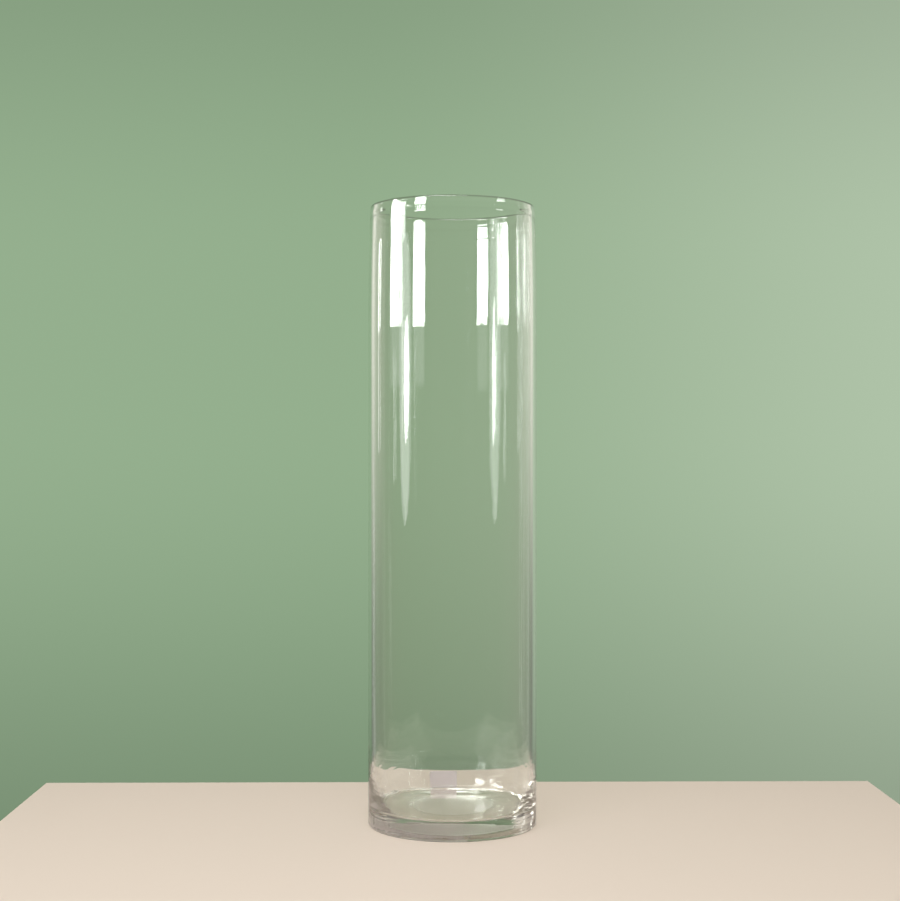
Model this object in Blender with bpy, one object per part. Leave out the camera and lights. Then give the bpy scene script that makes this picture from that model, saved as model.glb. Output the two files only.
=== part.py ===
# Tall glass cylinder vase with a small blank label on its back, near the foot.
# Metres, +Z up. The origin is the centre of the foot, on the surface that the vase stands on.
# The front of the vase faces -Y, and the label is on the +Y side.

import bpy
import bmesh
import numpy as np
from math import asin, atan, cos, exp, pi, radians, sin

# Glass body, outside
HEIGHT = 0.700
BODY_DIAMETER = 0.191
TAPER_START = 0.560      # height where the body starts to draw in
NECK_DRAW = 0.0018       # how far the outer radius has drawn in just below the lip
LIP_HEIGHT = 0.012
LIP_DRAW = 0.0013        # how much further it draws in over the lip's height
HEEL_RADIUS = 0.004      # rounded edge between wall and underside

# Glass body, wall and base
RIM_WALL = 0.0046
FOOT_WALL = 0.0055
SWELL = 0.0226           # how much the wall would thicken at the table, on top of FOOT_WALL
SWELL_DECAY = 0.020      # height over which the swell falls to a third
FLOOR_THICKNESS = 0.020
FLOOR_FILLET = 0.006
PUNT_DEPTH = 0.001       # hollow under the base
CONTACT_RING_WIDTH = 0.0155

# Label
LABEL_WIDTH = 0.035
LABEL_HEIGHT = 0.035
LABEL_ABOVE_HEEL = 0.001
LABEL_ANGLE = radians(7.0)   # from +Y towards -X
ADHESIVE_THICKNESS = 0.0002
PAPER_THICKNESS = 0.0002
GAP = 0.0003             # between pieces that touch on the real vase

# Fineness of the curves
TURN_STEPS = 72
LABEL_STEPS = 8
ARC_STEPS = 5


def clear_scene():
    for old in list(bpy.data.objects):
        bpy.data.objects.remove(old, do_unlink=True)


def make_material(name, color, roughness, transmission=0.0, ior=1.5):
    material = bpy.data.materials.new(name)
    material.use_nodes = True
    shader = material.node_tree.nodes["Principled BSDF"]
    shader.inputs["Base Color"].default_value = (*color, 1.0)
    shader.inputs["Roughness"].default_value = roughness
    shader.inputs["Metallic"].default_value = 0.0
    shader.inputs["Transmission Weight"].default_value = transmission
    shader.inputs["IOR"].default_value = ior
    return material


def make_object(name, mesh, material):
    mesh.materials.append(material)
    piece = bpy.data.objects.new(name, mesh)
    bpy.context.collection.objects.link(piece)
    return piece


def wall_thickness(z):
    # An even change from foot to rim, plus a swell that dies away upwards from the heavy base.
    even = FOOT_WALL + (RIM_WALL - FOOT_WALL) * z / HEIGHT
    return even + SWELL * exp(-z / SWELL_DECAY)


def outer_radius(z):
    # Straight up to TAPER_START, then a parabola in to the neck, then a second one in to the lip.
    radius = BODY_DIAMETER / 2
    neck_height = HEIGHT - LIP_HEIGHT
    if z > TAPER_START:
        climbed = min(z, neck_height) - TAPER_START
        share = climbed / (neck_height - TAPER_START)
        radius -= NECK_DRAW * share ** 2
    if z > neck_height:
        share = (z - neck_height) / LIP_HEIGHT
        radius -= LIP_DRAW * share ** 2
    return radius


def inner_radius(z):
    return outer_radius(z) - wall_thickness(z)


def floor_corner():
    # The fillet between the floor and the leaning wall: its centre radius and the wall's lean.
    # The height where it meets the wall depends on the lean there, so both are found by repetition.
    lean = 0.0
    for _ in range(30):
        top = FLOOR_THICKNESS + FLOOR_FILLET * (1 - sin(lean))
        lean = atan(SWELL / SWELL_DECAY * exp(-top / SWELL_DECAY))
    return inner_radius(top) - FLOOR_FILLET * cos(lean), lean, top


def glass_profile():
    # From the middle of the floor up the inside, over the rim and down the outside to the underside.
    fillet_center, lean, fillet_top = floor_corner()
    points = [(0.0, FLOOR_THICKNESS)]
    for angle in np.linspace(-pi / 2, -lean, ARC_STEPS + 1):
        x = fillet_center + FLOOR_FILLET * cos(angle)
        points.append((x, FLOOR_THICKNESS + FLOOR_FILLET * (1 + sin(angle))))

    # Heights up the wall: close together in the swell, wide in the middle, close again at the lip.
    lip_center = HEIGHT - RIM_WALL / 2
    swell_top = fillet_top + 3 * SWELL_DECAY
    neck_height = HEIGHT - LIP_HEIGHT
    heights = list(np.linspace(fillet_top, swell_top, 6)[1:])
    heights += list(np.linspace(swell_top, TAPER_START, 3)[1:])
    heights += list(np.linspace(TAPER_START, neck_height, 5)[1:])
    heights += list(np.linspace(neck_height, lip_center, 4)[1:])
    points += [(inner_radius(z), z) for z in heights]

    half_wall = wall_thickness(lip_center) / 2
    rim_middle = outer_radius(lip_center) - half_wall
    for angle in np.linspace(pi, 0, 2 * ARC_STEPS + 1)[1:]:
        points.append((rim_middle + half_wall * cos(angle), lip_center + RIM_WALL / 2 * sin(angle)))

    heights = [z for z in heights[:-1] if z >= TAPER_START]
    points += [(outer_radius(z), z) for z in reversed(heights)]
    heel_center = BODY_DIAMETER / 2 - HEEL_RADIUS
    for angle in np.linspace(0, -pi / 2, ARC_STEPS + 1):
        points.append((heel_center + HEEL_RADIUS * cos(angle), HEEL_RADIUS * (1 + sin(angle))))

    # The contact ring is flat, and inside it the base is hollowed by a shallow dome.
    punt_radius = heel_center - CONTACT_RING_WIDTH
    for share in np.linspace(1, 0, ARC_STEPS + 1):
        points.append((punt_radius * share, PUNT_DEPTH * (1 - share ** 2)))
    return points


def make_glass():
    points = glass_profile()
    mesh = bpy.data.meshes.new("vase_body")
    edges = [(i, i + 1) for i in range(len(points) - 1)]
    mesh.from_pydata([(x, 0.0, z) for x, z in points], edges, [])
    glass = make_material("clear_glass", (0.93, 0.97, 0.95), 0.02, transmission=1.0, ior=1.52)
    body = make_object("vase_body", mesh, glass)

    turn = body.modifiers.new("turn", "SCREW")
    turn.axis = "Z"
    turn.angle = 2 * pi
    turn.steps = TURN_STEPS
    turn.render_steps = TURN_STEPS
    turn.use_merge_vertices = True
    turn.merge_threshold = 0.00001
    turn.use_smooth_shade = True
    return body


def make_label_layer(name, inner, thickness, material):
    # A curved sheet on the back of the wall, with its inner face on a circle of radius inner.
    half_turn = asin(LABEL_WIDTH / 2 / inner)
    bottom = HEEL_RADIUS + LABEL_ABOVE_HEEL
    sheet = bmesh.new()
    columns = []
    for angle in np.linspace(-half_turn, half_turn, LABEL_STEPS + 1):
        around = pi / 2 + LABEL_ANGLE + angle
        corners = [
            sheet.verts.new((r * cos(around), r * sin(around), z))
            for r, z in (
                (inner, bottom),
                (inner + thickness, bottom),
                (inner + thickness, bottom + LABEL_HEIGHT),
                (inner, bottom + LABEL_HEIGHT),
            )
        ]
        columns.append(corners)
    for left, right in zip(columns, columns[1:]):
        for i in range(4):
            j = (i + 1) % 4
            sheet.faces.new((left[i], left[j], right[j], right[i]))
    sheet.faces.new(columns[0])
    sheet.faces.new(columns[-1])
    bmesh.ops.recalc_face_normals(sheet, faces=sheet.faces)

    mesh = bpy.data.meshes.new(name)
    sheet.to_mesh(mesh)
    sheet.free()
    mesh.shade_smooth()
    mesh.set_sharp_from_angle(angle=radians(30))
    return make_object(name, mesh, material)


def make_label():
    adhesive = make_material("label_glue", (0.80, 0.79, 0.74), 0.40)
    paper = make_material("label_stock", (0.86, 0.82, 0.84), 0.65)
    adhesive_radius = BODY_DIAMETER / 2 + GAP
    paper_radius = adhesive_radius + ADHESIVE_THICKNESS + GAP
    make_label_layer("label_adhesive", adhesive_radius, ADHESIVE_THICKNESS, adhesive)
    make_label_layer("label_paper", paper_radius, PAPER_THICKNESS, paper)


clear_scene()
make_glass()
make_label()
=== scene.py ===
import bpy
import numpy as np
from math import atan2, radians
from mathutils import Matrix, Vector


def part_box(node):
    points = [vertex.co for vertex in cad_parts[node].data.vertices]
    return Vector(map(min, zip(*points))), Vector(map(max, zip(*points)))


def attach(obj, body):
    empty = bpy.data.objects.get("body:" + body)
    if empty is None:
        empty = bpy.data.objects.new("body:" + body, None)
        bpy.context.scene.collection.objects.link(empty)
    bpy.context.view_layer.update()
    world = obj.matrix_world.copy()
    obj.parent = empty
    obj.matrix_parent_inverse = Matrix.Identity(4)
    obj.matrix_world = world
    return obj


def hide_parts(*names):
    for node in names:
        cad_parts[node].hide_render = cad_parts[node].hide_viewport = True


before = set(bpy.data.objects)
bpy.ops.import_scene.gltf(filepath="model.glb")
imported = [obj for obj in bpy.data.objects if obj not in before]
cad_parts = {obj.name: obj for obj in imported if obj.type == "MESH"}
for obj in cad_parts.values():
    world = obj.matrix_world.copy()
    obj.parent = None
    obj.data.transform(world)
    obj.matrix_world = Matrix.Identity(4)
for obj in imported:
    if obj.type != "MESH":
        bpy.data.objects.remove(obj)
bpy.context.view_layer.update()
print("frame loaded")


def placePiece(name, data):
    piece = bpy.data.objects.new(name, data)
    bpy.context.scene.collection.objects.link(piece)
    return piece


def makeMesh(name, points, faces, body, cadNode, material):
    mesh = bpy.data.meshes.new(name)
    mesh.from_pydata(points.tolist(), [], faces)
    mesh.shade_smooth()
    mesh.materials.append(material)
    piece = placePiece(name, mesh)
    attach(piece, body)
    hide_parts(cadNode)


def gridFaces(rows, columns, wrap):
    # Quads between neighbouring rows and columns of points, which are numbered row by row.
    # wrap joins the last column to the first.
    row = np.arange(rows - 1)[:, None]
    column = np.arange(columns if wrap else columns - 1)[None, :]
    beside = (column + 1) % columns
    corners = np.stack([
        (row + 1) * columns + column,
        (row + 1) * columns + beside,
        row * columns + beside,
        row * columns + column,
    ], axis=-1)
    return corners.reshape(-1, 4)


def newMaterial(name):
    material = bpy.data.materials.new(name)
    material.use_nodes = True
    return material, material.node_tree.nodes, material.node_tree.links


def newGroup(name, inputs, outputs):
    group = bpy.data.node_groups.new(name, "ShaderNodeTree")
    for title, kind, value in inputs:
        group.interface.new_socket(title, in_out="INPUT", socket_type=kind).default_value = value
    for title, kind in outputs:
        group.interface.new_socket(title, in_out="OUTPUT", socket_type=kind)
    return group, group.nodes.new("NodeGroupInput"), group.nodes.new("NodeGroupOutput")


def placeGroup(nodes, group, values):
    node = nodes.new("ShaderNodeGroup")
    node.node_tree = group
    for title, value in values.items():
        node.inputs[title].default_value = value
    return node


def mathNode(tree, operation, first, second=None):
    node = tree.nodes.new("ShaderNodeMath")
    node.operation = operation
    for socket, value in zip(node.inputs, (first, second)):
        if isinstance(value, bpy.types.NodeSocket):
            tree.links.new(value, socket)
        elif value is not None:
            socket.default_value = value
    return node.outputs[0]


def rampNode(tree, factor, low, high, first, last):
    # A smooth step from the first value to the last as the factor goes from low to high.
    node = tree.nodes.new("ShaderNodeMapRange")
    node.interpolation_type = "SMOOTHSTEP"
    tree.links.new(factor, node.inputs["Value"])
    node.inputs["From Min"].default_value = low
    node.inputs["From Max"].default_value = high
    node.inputs["To Min"].default_value = first
    node.inputs["To Max"].default_value = last
    return node.outputs["Result"]


def blendColors(tree, factor, first, second):
    node = tree.nodes.new("ShaderNodeMix")
    node.data_type = "RGBA"
    for title, value in (("Factor", factor), ("A", first), ("B", second)):
        socket = node.inputs[title]
        if isinstance(value, bpy.types.NodeSocket):
            tree.links.new(value, socket)
        else:
            socket.default_value = value
    return node.outputs["Result"]


def scaleColor(tree, color, amount):
    # A plain color or a socket, made lighter or darker by a socket's value.
    node = tree.nodes.new("ShaderNodeVectorMath")
    node.operation = "SCALE"
    if isinstance(color, bpy.types.NodeSocket):
        tree.links.new(color, node.inputs[0])
    else:
        node.inputs[0].default_value = color[:3]
    tree.links.new(amount, node.inputs["Scale"])
    return node.outputs[0]


unevenness = {"streakDetail": 3.0, "patchDetail": 2.0, "patchEdges": (0.45, 0.7)}


def makeFineUnevenness():
    # Two noises on Object coordinates: a height, with one scale across and one along Z, and a mask of soft patches.
    number = "NodeSocketFloat"
    group, inputs, outputs = newGroup(
        "fineUnevenness",
        [("Across", number, 40.0), ("Along", number, 2.0), ("Patch", number, 6.0)],
        [("Height", number), ("Mask", number)],
    )
    place = group.nodes.new("ShaderNodeTexCoord")
    scales = group.nodes.new("ShaderNodeCombineXYZ")
    group.links.new(inputs.outputs["Across"], scales.inputs["X"])
    group.links.new(inputs.outputs["Across"], scales.inputs["Y"])
    group.links.new(inputs.outputs["Along"], scales.inputs["Z"])
    stretched = group.nodes.new("ShaderNodeVectorMath")
    stretched.operation = "MULTIPLY"
    group.links.new(place.outputs["Object"], stretched.inputs[0])
    group.links.new(scales.outputs[0], stretched.inputs[1])
    streaks = group.nodes.new("ShaderNodeTexNoise")
    streaks.inputs["Scale"].default_value = 1.0
    streaks.inputs["Detail"].default_value = unevenness["streakDetail"]
    group.links.new(stretched.outputs[0], streaks.inputs["Vector"])
    patches = group.nodes.new("ShaderNodeTexNoise")
    patches.inputs["Detail"].default_value = unevenness["patchDetail"]
    group.links.new(place.outputs["Object"], patches.inputs["Vector"])
    group.links.new(inputs.outputs["Patch"], patches.inputs["Scale"])
    group.links.new(streaks.outputs["Fac"], outputs.inputs["Height"])
    mask = rampNode(group, patches.outputs["Fac"], *unevenness["patchEdges"], 0.0, 1.0)
    group.links.new(mask, outputs.inputs["Mask"])
    return group


fineUnevenness = makeFineUnevenness()


glass = {
    # looks
    "color": (0.985, 1.0, 0.99, 1.0),
    "ior": 1.51,
    "clean": 0.0,            # roughness of clean glass
    "handled": 0.003,        # roughness where it has been touched
    "tint": (0.38, 0.36, 0.28, 1.0),
    "tintDensity": 5.5,
    "striae": 0.03,          # strength of the fine vertical lines
    "striaeDepth": 0.001,
    "lines": {"Across": 260.0, "Along": 2.0, "Patch": 9.0},
    "moulded": 0.4,          # roughness of the middle of the underside
    "mouldedRadius": 0.068, "mouldedFade": 0.034,
    "mouldedTop": 0.0012,    # height that the underside reaches
    "mouldedStep": 0.0002,
    "shadow": (0.97, 0.975, 0.97, 1.0),
    "shadowUnder": (0.85, 0.85, 0.83, 1.0),
    "underLow": 0.001, "underHigh": 0.004,    # heights where the foot's shadow gives way to the wall's

    # outline, in metres
    "taperStart": 0.560, "neckDraw": 0.0018, "lipHeight": 0.012, "lipDraw": 0.0013,
    "heel": 0.004, "rimWall": 0.0046, "footWall": 0.0055, "swell": 0.0226, "swellDecay": 0.020,
    "floor": 0.020, "fillet": 0.006, "puntDepth": 0.001, "ringWidth": 0.0155,

    # columns round the axis, and rows along each stretch of the outline
    "around": 320,
    "rows": {
        "floor": 30, "fillet": 14, "lowInside": 60, "wallInside": 30, "neckInside": 26, "rim": 17,
        "neckOutside": 12, "wallOutside": 24, "lowOutside": 66, "heel": 12, "ring": 5, "dome": 16,
    },
    "lowTop": 0.12,          # below this height the rows lie closer together
    "neckInside": 0.04, "neckOutside": 0.03,    # and again this far below the rim

    # slow unevenness of the wall around the vase
    "waves": 9, "waveDepth": 0.00003, "insideMore": 1.5, "insideSeed": 3, "outsideSeed": 8,
    "fewestTurns": 2, "mostTurns": 26, "waveDrift": 4,
    "waveStart": 0.03, "waveRise": 0.05, "waveStop": 0.004, "waveFall": 0.02,

    # ring inside the rim, chill ripples and lumps near the foot
    "ringDepth": 0.00025, "ringBelowRim": 0.012, "ringWidthZ": 0.0022,
    "chillDepth": 0.00030, "chillPitch": 0.0052, "chillTop": 0.10, "chillRise": 0.004,
    "chillPatches": 2, "chillSwing": 0.017, "chillTurns": 5,
    "chillBends": ((3, 2, 0), (1.3, 7, 1)),     # strength, turns and start of each
    "lumpDepth": 0.00015, "lumpCenter": 0.009, "lumpReach": 0.006, "lumpTurns": (37, 23),
}


def makeGlassMaterial():
    material, nodes, links = newMaterial("clearGlass")
    tree = material.node_tree
    shader = nodes["Principled BSDF"]
    shader.inputs["Base Color"].default_value = glass["color"]
    shader.inputs["Metallic"].default_value = 0.0
    shader.inputs["Transmission Weight"].default_value = 1.0
    shader.inputs["IOR"].default_value = glass["ior"]
    uneven = placeGroup(nodes, fineUnevenness, glass["lines"])
    rough = rampNode(tree, uneven.outputs["Mask"], 0.0, 1.0, glass["clean"], glass["handled"])
    place = nodes.new("ShaderNodeTexCoord")
    parts = nodes.new("ShaderNodeSeparateXYZ")
    links.new(place.outputs["Object"], parts.inputs[0])
    # The matt middle of the underside: a disc round the axis, up to the height that the underside reaches.
    top, edge = glass["mouldedTop"], glass["mouldedRadius"]
    under = rampNode(tree, parts.outputs["Z"], top, top + glass["mouldedStep"], glass["moulded"], 0.0)
    across = mathNode(tree, "MULTIPLY", parts.outputs["X"], parts.outputs["X"])
    deep = mathNode(tree, "MULTIPLY", parts.outputs["Y"], parts.outputs["Y"])
    fromAxis = mathNode(tree, "SQRT", mathNode(tree, "ADD", across, deep))
    middle = rampNode(tree, fromAxis, edge - glass["mouldedFade"], edge, 1.0, 0.0)
    moulded = mathNode(tree, "MULTIPLY", under, middle)
    links.new(mathNode(tree, "MAXIMUM", rough, moulded), shader.inputs["Roughness"])
    bump = nodes.new("ShaderNodeBump")
    bump.inputs["Strength"].default_value = glass["striae"]
    bump.inputs["Distance"].default_value = glass["striaeDepth"]
    links.new(uneven.outputs["Height"], bump.inputs["Height"])
    links.new(bump.outputs[0], shader.inputs["Normal"])

    tint = nodes.new("ShaderNodeVolumeAbsorption")
    tint.inputs["Color"].default_value = glass["tint"]
    tint.inputs["Density"].default_value = glass["tintDensity"]

    # Shadow rays and rays from matt surfaces pass straight through, so the glass throws only a light shadow
    # and the label and the floor beneath it are lit through it.
    rays = nodes.new("ShaderNodeLightPath")
    straight = mathNode(tree, "MAXIMUM", rays.outputs["Is Shadow Ray"], rays.outputs["Is Diffuse Ray"])
    clear = nodes.new("ShaderNodeBsdfTransparent")
    low = rampNode(tree, parts.outputs["Z"], glass["underLow"], glass["underHigh"], 1.0, 0.0)
    shade = blendColors(tree, low, glass["shadow"], glass["shadowUnder"])
    links.new(shade, clear.inputs["Color"])
    either = nodes.new("ShaderNodeMixShader")
    links.new(straight, either.inputs["Fac"])
    links.new(shader.outputs[0], either.inputs[1])
    links.new(clear.outputs[0], either.inputs[2])
    output = nodes["Material Output"]
    links.new(either.outputs[0], output.inputs["Surface"])
    links.new(tint.outputs[0], output.inputs["Volume"])
    return material


def outerRadius(z, radius, height):
    # Straight up to the taper, a parabola in to the neck, and another in to the lip.
    s = glass
    neck = height - s["lipHeight"]
    taper = np.clip((z - s["taperStart"]) / (neck - s["taperStart"]), 0, 1)
    lip = np.clip((z - neck) / s["lipHeight"], 0, 1)
    return radius - s["neckDraw"] * taper ** 2 - s["lipDraw"] * lip ** 2


def wallThickness(z, height):
    # An even change from foot to rim, plus a swell that dies away upwards from the heavy base.
    s = glass
    even = s["footWall"] + (s["rimWall"] - s["footWall"]) * z / height
    return even + s["swell"] * np.exp(-z / s["swellDecay"])


def filletCorner(radius, height):
    # Where the floor's fillet leaves the leaning wall, found by repetition, and the lean there.
    s = glass
    lean = 0.0
    for _ in range(30):
        top = s["floor"] + s["fillet"] * (1 - np.sin(lean))
        lean = np.arctan(s["swell"] / s["swellDecay"] * np.exp(-top / s["swellDecay"]))
    inner = outerRadius(top, radius, height) - wallThickness(top, height)
    return inner - s["fillet"] * np.cos(lean), lean, top


def glassProfile(radius, height):
    # Radius and height of each point, and whether it is outside, from the floor's middle round to the underside's:
    # a straight floor, an arc, the wall's two curves with a half ellipse between them, an arc, and a parabola below.
    s = glass
    rows, low = s["rows"], s["lowTop"]
    center, lean, filletTop = filletCorner(radius, height)
    lipCenter = height - s["rimWall"] / 2
    floorR = np.linspace(0, center, rows["floor"])
    arc = np.linspace(-np.pi / 2, -lean, rows["fillet"])[1:]
    neckIn, neckOut = height - s["neckInside"], height - s["neckOutside"]
    wallZ = np.concatenate([
        np.linspace(filletTop, low, rows["lowInside"])[1:],
        np.linspace(low, neckIn, rows["wallInside"])[1:],
        np.linspace(neckIn, lipCenter, rows["neckInside"])[1:],
    ])
    half = wallThickness(lipCenter, height) / 2
    rimMiddle = outerRadius(lipCenter, radius, height) - half
    over = np.linspace(np.pi, 0, rows["rim"])[1:-1]
    downZ = np.concatenate([
        np.linspace(lipCenter, neckOut, rows["neckOutside"]),
        np.linspace(neckOut, low, rows["wallOutside"])[1:],
        np.linspace(low, s["heel"], rows["lowOutside"])[1:],
    ])
    heelCenter = radius - s["heel"]
    heel = np.linspace(0, -np.pi / 2, rows["heel"])[1:]
    punt = heelCenter - s["ringWidth"]
    ringR = np.linspace(heelCenter, punt, rows["ring"])[1:]
    domeR = np.linspace(punt, 0, rows["dome"])[1:]
    r = np.concatenate([
        floorR, center + s["fillet"] * np.cos(arc),
        outerRadius(wallZ, radius, height) - wallThickness(wallZ, height),
        rimMiddle + half * np.cos(over), outerRadius(downZ, radius, height),
        heelCenter + s["heel"] * np.cos(heel), ringR, domeR,
    ])
    z = np.concatenate([
        np.full_like(floorR, s["floor"]), s["floor"] + s["fillet"] * (1 + np.sin(arc)),
        wallZ, lipCenter + s["rimWall"] / 2 * np.sin(over), downZ,
        s["heel"] * (1 + np.sin(heel)), np.zeros_like(ringR), s["puntDepth"] * (1 - (domeR / punt) ** 2),
    ])
    outside = np.arange(len(r)) >= len(floorR) + len(arc) + len(wallZ)
    return r, z, outside


def wallWaves(angle, z, seed):
    # A sum of cosines round the vase, each drifting a little with height and weaker the more turns it has,
    # scaled to lie between -1 and 1.
    s = glass
    dice = np.random.default_rng(seed)
    total = np.zeros(np.broadcast(angle, z).shape)
    weights = 0.0
    for _ in range(s["waves"]):
        turns = dice.integers(s["fewestTurns"], s["mostTurns"])
        weight = 1.0 / turns ** 0.5
        start = dice.uniform(0, 6.28)     # about a full turn
        total += weight * np.cos(turns * angle + start + dice.uniform(-s["waveDrift"], s["waveDrift"]) * z)
        weights += weight
    return total / weights


def makeGlass():
    s = glass
    low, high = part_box("vase_body")
    radius, height = high.x, high.z
    r, z, outside = glassProfile(radius, height)
    angle = np.linspace(0, 2 * np.pi, s["around"], endpoint=False)[None, :]
    zGrid, out = z[:, None], outside[:, None]

    # The waves fade out at the floor, the rim and the foot, so every closed edge stays round.
    fadeIn = np.clip((zGrid - s["waveStart"]) / s["waveRise"], 0, 1)
    fade = fadeIn * np.clip((height - s["waveStop"] - zGrid) / s["waveFall"], 0, 1)
    inner = s["waveDepth"] * s["insideMore"] * wallWaves(angle, zGrid, s["insideSeed"])
    outer = s["waveDepth"] * (wallWaves(angle, zGrid, s["outsideSeed"]) - 1)
    shift = np.where(out, outer, inner) * fade
    # A shallow ring inside, a little below the rim, left by the fire polish: a bell curve of height.
    ring = np.exp(-((zGrid - (height - s["ringBelowRim"])) / s["ringWidthZ"]) ** 2)
    shift = shift + np.where(out, 0, -s["ringDepth"] * ring)
    # Fine chill ripples low on the outside: a cosine of height, bent by two sines round the vase, fading upwards,
    # and stronger in some places around the foot than in others.
    strength = np.clip(1 - zGrid / s["chillTop"], 0, 1) * np.clip((zGrid - s["heel"]) / s["chillRise"], 0, 1)
    patch = 0.5 + 0.5 * np.cos(s["chillPatches"] * angle)
    bend = sum(size * np.sin(turns * angle + start) for size, turns, start in s["chillBends"])
    uneven = 0.6 + 0.4 * np.cos(2 * np.pi * zGrid / s["chillSwing"] + s["chillTurns"] * angle)
    ripple = uneven * (np.cos(2 * np.pi * zGrid / s["chillPitch"] + bend) - 1)
    shift = shift + np.where(out, s["chillDepth"] * ripple * strength * patch, 0)
    # Low lumps in a belt just above the heel: two cosines multiplied, under a bell curve of height.
    many, fewer = s["lumpTurns"]
    lumps = np.cos(many * angle + 2) * np.cos(fewer * angle) - 1
    belt = np.exp(-((zGrid - s["lumpCenter"]) / s["lumpReach"]) ** 2)
    shift = shift + np.where(out & (zGrid >= s["heel"]), s["lumpDepth"] * lumps * belt, 0)

    # The profile turned round the axis; the poles at its two ends take no unevenness.
    rGrid = np.clip(r[:, None] + shift, 0, None)
    pole = r < 0.001
    rGrid[pole] = r[pole][:, None]
    x, y = rGrid * np.cos(angle), rGrid * np.sin(angle)
    points = np.stack([x, y, np.broadcast_to(zGrid, x.shape)], axis=-1)

    # The first and last rows are the poles, one point each.
    body = points[1:-1].reshape(-1, 3)
    rows, columns = len(r) - 2, s["around"]
    poles = np.array([[0, 0, z[0]], [0, 0, z[-1]]])
    allPoints = np.concatenate([body, poles])
    around = np.arange(columns)
    beside = (around + 1) % columns
    first = np.stack([around, beside, np.full(columns, rows * columns)], axis=-1)
    last = (rows - 1) * columns
    under = np.stack([np.full(columns, rows * columns + 1), last + beside, last + around], axis=-1)
    faces = gridFaces(rows, columns, wrap=True).tolist() + first.tolist() + under.tolist()
    makeMesh("glassBody", allPoints, faces, "root", "vase_body", makeGlassMaterial())
    print("glass made:", len(faces), "faces")


label = {
    "corner": 0.0008,        # radius of the sheets' cut corners
    "columns": 60, "rows": 60,
    "fibreDepth": 0.0001,
    "grain": {"Across": 900.0, "Along": 700.0, "Patch": 160.0},
}
adhesive = {
    "light": (0.99, 0.93, 0.99, 1.0), "shade": (0.96, 0.90, 0.96, 1.0),
    "roughness": 0.5, "fibre": 0.1, "thickness": 0.0002,
    "sink": 0.00005,         # how far it wets into the glass skin, so that they meet
}
paper = {
    "light": (0.80, 0.74, 0.75, 1.0), "shade": (0.72, 0.66, 0.68, 1.0),
    "roughness": 0.7, "fibre": 0.25, "thickness": 0.0001,
}


def makeLabelMaterial(name, look):
    material, nodes, links = newMaterial(name)
    shader = nodes["Principled BSDF"]
    uneven = placeGroup(nodes, fineUnevenness, label["grain"])
    color = blendColors(material.node_tree, uneven.outputs["Mask"], look["light"], look["shade"])
    links.new(color, shader.inputs["Base Color"])
    shader.inputs["Roughness"].default_value = look["roughness"]
    bump = nodes.new("ShaderNodeBump")
    bump.inputs["Strength"].default_value = look["fibre"]
    bump.inputs["Distance"].default_value = label["fibreDepth"]
    links.new(uneven.outputs["Height"], bump.inputs["Height"])
    links.new(bump.outputs[0], shader.inputs["Normal"])
    return material


def makeSheet(name, cadNode, material, inner, thickness):
    # A closed curved sheet: width and height run over a grid, pulled in at the corners along a quarter circle,
    # and the width is laid along a circle of radius inner, so the sheet keeps its flat size.
    low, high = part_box(cadNode)
    middle = atan2((low.y + high.y) / 2, (low.x + high.x) / 2)
    width, tall = high.x - low.x, high.z - low.z
    rows, columns, corner = label["rows"], label["columns"], label["corner"]
    across = np.linspace(-1, 1, columns)[None, :]
    up = np.linspace(-1, 1, rows)[:, None] * tall / 2
    past = np.clip(np.abs(up) - (tall / 2 - corner), 0, corner)
    halfWidth = width / 2 - (corner - np.sqrt(corner ** 2 - past ** 2))
    turn = across * halfWidth / inner
    z = np.broadcast_to((low.z + high.z) / 2 + up, turn.shape)
    layers = []
    for radius in (inner, inner + thickness):
        x, y = radius * np.cos(middle + turn), radius * np.sin(middle + turn)
        layers.append(np.stack([x, y, z], axis=-1).reshape(-1, 3))

    # The two layers face away from each other, and a strip closes the edge between them.
    count = rows * columns
    back = gridFaces(rows, columns, wrap=False)
    front = back[:, ::-1] + count
    index = np.arange(count).reshape(rows, columns)
    loop = np.concatenate([index[0, :], index[1:, -1], index[-1, -2::-1], index[-2:0:-1, 0]])
    following = np.roll(loop, -1)
    edge = np.stack([following, following + count, loop + count, loop], axis=-1)
    faces = np.concatenate([back, front, edge]).tolist()
    makeMesh(name, np.concatenate(layers), faces, "root", cadNode, material)


def makeLabel():
    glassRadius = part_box("vase_body")[1].x
    glueInner = glassRadius - adhesive["sink"]
    paperInner = glueInner + adhesive["thickness"]
    glueMaterial = makeLabelMaterial("labelGlue", adhesive)
    paperMaterial = makeLabelMaterial("labelStock", paper)
    makeSheet("labelAdhesive", "label_adhesive", glueMaterial, glueInner, adhesive["thickness"])
    makeSheet("labelPaper", "label_paper", paperMaterial, paperInner, paper["thickness"])
    print("label made")


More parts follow.
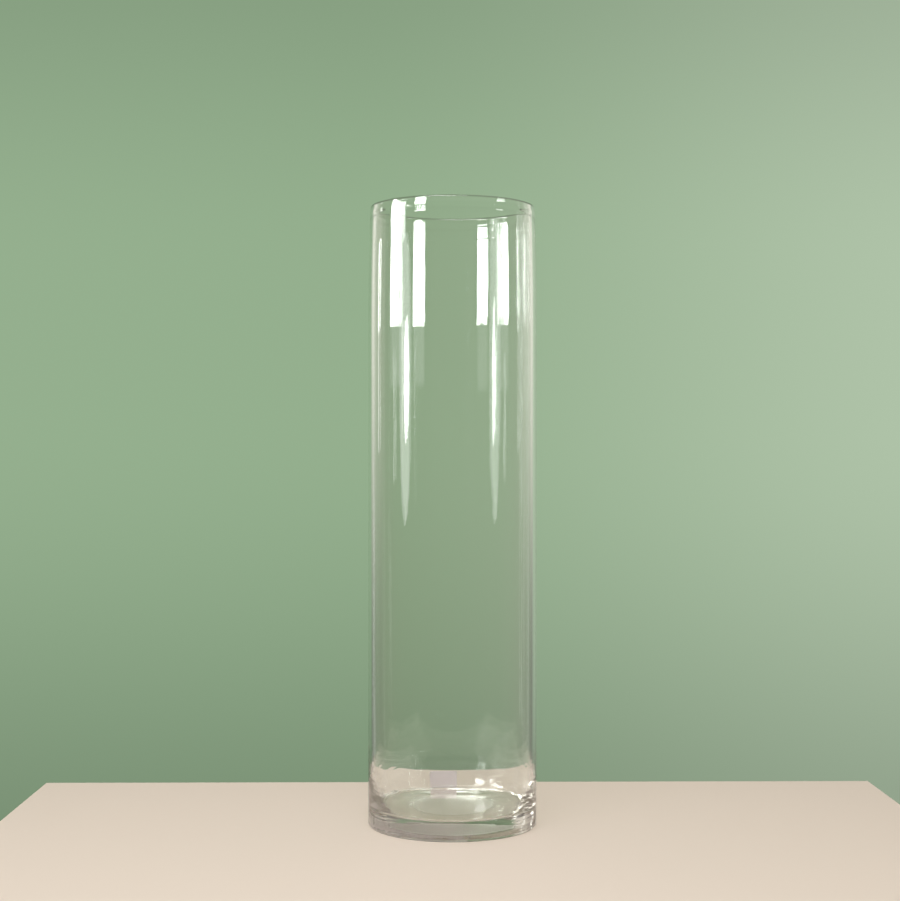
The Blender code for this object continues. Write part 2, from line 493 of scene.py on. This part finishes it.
studio = {
    "tableBack": 0.246, "tableFront": -0.345, "tableLeft": -0.517, "tableRight": 0.538, "tableThick": 0.03,
    "tableTurn": radians(0.67),
    "airUnderFoot": 0.00005,             # the foot never wets the table, so light turns back at the underside
    "tableColor": (0.76, 0.665, 0.59, 1.0), "tableRoughness": 0.6, "tableSpecular": 0.15,

    # the backdrop: its colours, its edges as slopes from straight ahead, and how far its top and foot darken
    "backdrop": (0.300, 0.430, 0.272, 1.0),
    "backdropRight": (0.437, 0.551, 0.399, 1.0), "turnsRight": (-0.08, 0.34),
    "backdropTop": (0.12, 0.34), "topShade": 0.78,
    "backdropFoot": (-0.30, 0.03), "footShade": 0.60,
    "backdropEdge": (0.60, 0.75), "backdropAhead": (0.2, 0.3),

    # the room, with heights and depths given as parts of the direction of view
    "sides": (1.0, 0.93, 0.85, 1.0),     # pale walls to either side of the backdrop
    "wallRise": (-0.14, 0.12), "wallLow": 0.15, "wallHigh": 1.2,
    "room": (0.24, 0.17, 0.14, 1.0),     # the dim room behind the viewer
    "roomDepth": (0.30, 0.85),
    "ceiling": (0.42, 0.37, 0.32, 1.0), "ceilingRise": (0.22, 0.42),
}


def makeTable():
    s = studio
    cosTurn, sinTurn = np.cos(s["tableTurn"]), np.sin(s["tableTurn"])
    corners = np.array([
        [s["tableLeft"], s["tableFront"]], [s["tableRight"], s["tableFront"]],
        [s["tableRight"], s["tableBack"]], [s["tableLeft"], s["tableBack"]],
    ])
    turned = corners @ np.array([[cosTurn, sinTurn], [-sinTurn, cosTurn]])
    top = np.column_stack([turned, np.full(4, -s["airUnderFoot"])])
    points = np.concatenate([top, top - [0, 0, s["tableThick"]]])
    faces = [[0, 1, 2, 3], [7, 6, 5, 4], [0, 4, 5, 1], [1, 5, 6, 2], [2, 6, 7, 3], [3, 7, 4, 0]]
    mesh = bpy.data.meshes.new("floor")
    mesh.from_pydata(points.tolist(), [], faces)
    floor = placePiece("floor", mesh)
    material, nodes, links = newMaterial("paleFloor")
    shader = nodes["Principled BSDF"]
    shader.inputs["Base Color"].default_value = s["tableColor"]
    shader.inputs["Roughness"].default_value = s["tableRoughness"]
    shader.inputs["Specular IOR Level"].default_value = s["tableSpecular"]
    mesh.materials.append(material)


def makeWorld():
    s = studio
    world = bpy.data.worlds.new("studio")
    bpy.context.scene.world = world
    world.use_nodes = True
    tree = world.node_tree
    place = tree.nodes.new("ShaderNodeTexCoord")
    parts = tree.nodes.new("ShaderNodeSeparateXYZ")
    tree.links.new(place.outputs["Generated"], parts.inputs[0])
    x, y, z = parts.outputs[0], parts.outputs[1], parts.outputs[2]
    ahead = mathNode(tree, "MAXIMUM", y, 0.05)     # kept above zero, as it divides
    side = mathNode(tree, "DIVIDE", x, ahead)
    rise = mathNode(tree, "DIVIDE", z, ahead)

    # The backdrop ahead of the viewer: lighter to the right, darker at its top and its foot.
    rightward = rampNode(tree, side, *s["turnsRight"], 0.0, 1.0)
    green = blendColors(tree, rightward, s["backdrop"], s["backdropRight"])
    above = rampNode(tree, rise, *s["backdropTop"], 1.0, s["topShade"])
    below = rampNode(tree, rise, *s["backdropFoot"], s["footShade"], 1.0)
    backdrop = scaleColor(tree, green, mathNode(tree, "MULTIPLY", above, below))

    # Pale side walls that grow lighter with height, a dim room behind the viewer and a pale ceiling.
    walls = scaleColor(tree, s["sides"], rampNode(tree, z, *s["wallRise"], s["wallLow"], s["wallHigh"]))
    room = blendColors(tree, rampNode(tree, y, *s["roomDepth"], 0.0, 1.0), s["room"], walls)
    room = blendColors(tree, rampNode(tree, z, *s["ceilingRise"], 0.0, 1.0), room, s["ceiling"])
    width = mathNode(tree, "ABSOLUTE", side)
    within = rampNode(tree, width, *s["backdropEdge"], 1.0, 0.0)
    inFront = mathNode(tree, "MULTIPLY", within, rampNode(tree, y, *s["backdropAhead"], 0.0, 1.0))
    color = blendColors(tree, inFront, room, backdrop)
    tree.links.new(color, tree.nodes["Background"].inputs["Color"])
    tree.nodes["Background"].inputs["Strength"].default_value = 1.0


windowDistance = 4.6         # metres from the vase's axis
windows = [
    # azimuth and width in degrees, from -Y towards -X; bottom and top in metres; glow is the radiance of the pane
    {"name": "leftPane", "azimuth": 88.3, "width": 8.6, "bottom": 0.942, "top": 2.3, "glow": 26},
    {"name": "leftStrip1", "azimuth": 82.3, "width": 1.8, "bottom": 0.942, "top": 2.3, "glow": 20},
    {"name": "leftStrip2", "azimuth": 79.6, "width": 2.4, "bottom": 0.942, "top": 2.3, "glow": 18},
    {"name": "leftStrip3", "azimuth": 76.6, "width": 1.8, "bottom": 0.942, "top": 2.3, "glow": 16},
    {"name": "leftStrip4", "azimuth": 73.6, "width": 2.6, "bottom": 0.942, "top": 2.3, "glow": 14},
    {"name": "leftStrip5", "azimuth": 70.0, "width": 2.6, "bottom": 1.40, "top": 2.3, "glow": 12},
    {"name": "frontPane", "azimuth": 46.2, "width": 15.6, "bottom": 0.942, "top": 1.53, "glow": 26},
    {"name": "frontPaneTop", "azimuth": 46.2, "width": 15.6, "bottom": 1.80, "top": 2.3, "glow": 26},
    {"name": "narrowGlow", "azimuth": 67.0, "width": 18, "bottom": 0.166, "top": 1.45, "glow": 2.8, "tapers": True},
    {"name": "narrowCore", "azimuth": 65.0, "width": 5.5, "bottom": 0.48, "top": 0.98, "glow": 15, "tapers": True},
    {"name": "narrowStreak", "azimuth": 70.5, "width": 1.4, "bottom": 0.52, "top": 1.2, "glow": 5, "tapers": True},
    {"name": "crack", "azimuth": 85, "width": 1.8, "bottom": 0.32, "top": 0.85, "glow": 5, "tapers": True},
    {"name": "frontSill", "azimuth": 46.2, "width": 15, "bottom": 0.70, "top": 0.942, "glow": 0.9},
    {"name": "leftSill", "azimuth": 84, "width": 16, "bottom": 0.70, "top": 0.942, "glow": 0.9},
    {"name": "sidePane", "azimuth": 118.5, "width": 2.5, "bottom": 0.92, "top": 1.35, "glow": 11},
    {"name": "sideCrack", "azimuth": 118.5, "width": 2.0, "bottom": 0.45, "top": 0.92, "glow": 3},
    {"name": "highFront", "azimuth": 46, "width": 16, "bottom": 2.4, "top": 3.1, "glow": 18},
    {"name": "highRight", "azimuth": -73, "width": 12, "bottom": 2.3, "top": 3.5, "glow": 9},
    {"name": "backLeft", "azimuth": 137, "width": 1.6, "bottom": -1.0, "top": 3.0, "glow": 0.8},
    {"name": "rightThin", "azimuth": -108, "width": 1.2, "bottom": -0.6, "top": 3.0, "glow": 1.2},
    {"name": "rightWide", "azimuth": -125, "width": 2.4, "bottom": -0.8, "top": 3.0, "glow": 0.6},
]


overhead = {"width": 1.6, "tall": 1.0, "energy": 54, "place": (-0.3, -1.3, 2.4), "tilt": 30, "turn": -13}
rimLight = {"width": 2.0, "tall": 1.0, "glow": 12, "place": (-0.4, -1.0, 2.6), "tilt": 24, "turn": -22}


def makeLamp(name, shape, width, tall, place, turn):
    # An area light that the camera doesn't see.
    lamp = bpy.data.lights.new(name, "AREA")
    lamp.shape = shape
    lamp.size, lamp.size_y = width, tall
    panel = placePiece(name, lamp)
    panel.location = place
    panel.rotation_euler = turn
    panel.visible_camera = False
    return lamp, panel


def makeWindow(look):
    # A light panel that faces the vase; a tapering one is an upright ellipse.
    away = radians(look["azimuth"])
    tapers = look.get("tapers", False)
    width = 2 * windowDistance * np.tan(radians(look["width"] / 2))
    middle = (look["top"] + look["bottom"]) / 2
    place = (-windowDistance * np.sin(away), -windowDistance * np.cos(away), middle)
    shape = "ELLIPSE" if tapers else "RECTANGLE"
    lamp, panel = makeLamp(
        look["name"], shape, width, look["top"] - look["bottom"], place, (radians(90), 0, -away))
    share = np.pi / 4 if tapers else 1.0      # of the upright rectangle around it
    lamp.energy = look["glow"] * np.pi * lamp.size * lamp.size_y * share
    panel.visible_diffuse = False


def makeLightAbove(name, look):
    turn = (radians(look["tilt"]), 0, radians(look["turn"]))
    return makeLamp(name, "RECTANGLE", look["width"], look["tall"], look["place"], turn)


def makeLights():
    for look in windows:
        makeWindow(look)
    # One wide soft light high in front lights the floor and the label; nothing mirrors it.
    lamp, panel = makeLightAbove("overhead", overhead)
    lamp.energy = overhead["energy"]
    panel.visible_glossy = False
    panel.visible_transmission = False
    # A bright strip above, which the rounded rim and the floor's fillet mirror as thin light lines.
    lamp, panel = makeLightAbove("rimLight", rimLight)
    lamp.energy = rimLight["glow"] * np.pi * lamp.size * lamp.size_y
    panel.visible_diffuse = False


view = {
    "place": (0, -1.876, 0.410), "tilt": 90,
    "lens": 66.0, "sensor": 36.0, "shift": (-0.0026, 0.0136), "nearest": 0.05,
    "bounces": 180, "glossyBounces": 160, "transmissionBounces": 40, "transparentBounces": 24,
}


def makeCamera():
    scene = bpy.context.scene
    camera = bpy.data.cameras.new("camera")
    camera.lens = view["lens"]
    camera.sensor_width = view["sensor"]
    camera.shift_x, camera.shift_y = view["shift"]
    camera.clip_start = view["nearest"]
    viewer = placePiece("camera", camera)
    viewer.location = view["place"]
    viewer.rotation_euler = (radians(view["tilt"]), 0, 0)
    scene.camera = viewer
    scene.view_settings.view_transform = "Standard"
    # Thick glass needs many bounces, and no blur or clamp on what it mirrors.
    scene.cycles.caustics_refractive = False
    scene.cycles.caustics_reflective = False
    scene.cycles.blur_glossy = 0.0
    scene.cycles.sample_clamp_indirect = 0.0
    scene.cycles.max_bounces = view["bounces"]
    scene.cycles.transmission_bounces = view["transmissionBounces"]
    scene.cycles.glossy_bounces = view["glossyBounces"]
    scene.cycles.transparent_max_bounces = view["transparentBounces"]


makeGlass()
makeLabel()
makeTable()
makeWorld()
makeLights()
makeCamera()
print("studio made")
